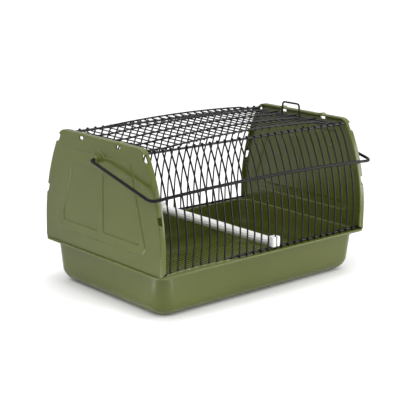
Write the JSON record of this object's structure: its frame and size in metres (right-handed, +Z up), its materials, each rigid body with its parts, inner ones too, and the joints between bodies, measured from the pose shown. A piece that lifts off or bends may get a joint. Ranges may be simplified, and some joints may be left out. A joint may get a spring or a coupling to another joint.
{
  "type": "small animal carrier",
  "caption": "Small bird and animal carrier: deep moulded tray, two moulded end panels, wire grilles, arched wire lid hinged at one end, swinging wire carry bail and a perch.",
  "frame": {"origin": "middle of the tray's underside, on the surface that the carrier stands on", "axes": "+X along the carrier's length towards the lid's free end, +Y to the back, +Z up"},
  "size_m": [0.3244, 0.202, 0.1843],
  "materials": {
    "olive_plastic": "satin injection-moulded polypropylene, olive green",
    "black_wire": "black powder-coated steel wire",
    "white_plastic": "white moulded plastic"
  },
  "bodies": {
    "tray": {"base_tray": "olive_plastic"},
    "cage": {"left_end_panel": "olive_plastic", "right_end_panel": "olive_plastic", "front_grille": "black_wire", "front_base_wire": "black_wire", "back_grille": "black_wire", "back_base_wire": "black_wire", "lid_hinge_rod": "black_wire", "lid_rest_rod": "black_wire", "perch_bar": "white_plastic", "perch_clip_front": "white_plastic", "perch_clip_back": "white_plastic"},
    "lid": {"lid_mesh": "black_wire", "lid_hinge_eye_front": "black_wire", "lid_hinge_eye_back": "black_wire", "lid_finger_loop": "black_wire"},
    "bail": {"carry_bail": "black_wire"}
  },
  "joints": [
    {"name": "cage_lift", "type": "slide", "parent": "tray", "child": "cage", "axis": [0, 0, 1], "range_m": [0, 0.12]},
    {"name": "lid_hinge", "type": "hinge", "parent": "cage", "child": "lid", "pos_m": [-0.1382, 0, 0.1689], "axis": [0, -1, 0], "range_deg": [0, 112]},
    {"name": "bail_swing", "type": "hinge", "parent": "cage", "child": "bail", "pos_m": [0, 0, 0.1513], "axis": [-1, 0, 0], "range_deg": [0, 208]}
  ]
}
